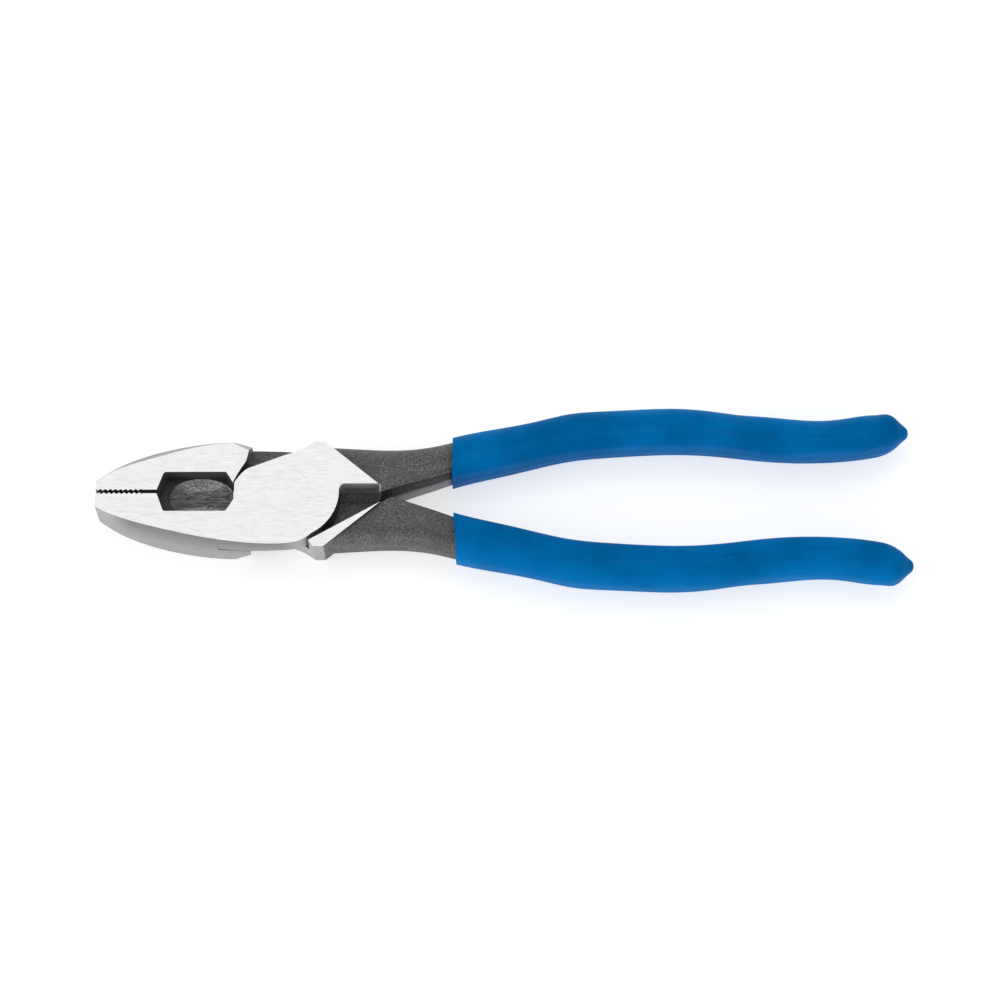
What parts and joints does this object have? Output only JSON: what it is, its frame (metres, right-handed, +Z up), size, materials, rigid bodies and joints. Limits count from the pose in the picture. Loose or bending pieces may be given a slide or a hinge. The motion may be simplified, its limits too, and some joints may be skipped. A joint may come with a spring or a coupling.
{
  "type": "lineman pliers",
  "caption": "Side-cutting lineman pliers with broad serrated jaws, a wire cutter in a six-sided window, a lap pivot with a flush rivet, and dipped blue handle grips.",
  "frame": {"origin": "on the pivot axis, in the ground face that the tool lies on", "axes": "-X towards the nose of the jaws, +X towards the handle ends, +Z up along the pivot axis"},
  "size_m": [0.2364, 0.0562, 0.0159],
  "materials": {
    "forged_steel": "ground bright on the two flat faces, dark oxide forging skin elsewhere",
    "rivet_steel": "ground flush with the faces",
    "grip_plastic": "smooth glossy dipped vinyl, blue"
  },
  "bodies": {
    "left_side": {"left_half": "forged_steel", "rivet": "rivet_steel", "left_grip": "grip_plastic"},
    "right_side": {"right_half": "forged_steel", "right_grip": "grip_plastic"}
  },
  "joints": [
    {"name": "pivot", "type": "hinge", "parent": "left_side", "child": "right_side", "pos_m": [0, 0, 0.00795], "axis": [0, 0, 1], "range_deg": [0, 26]}
  ]
}
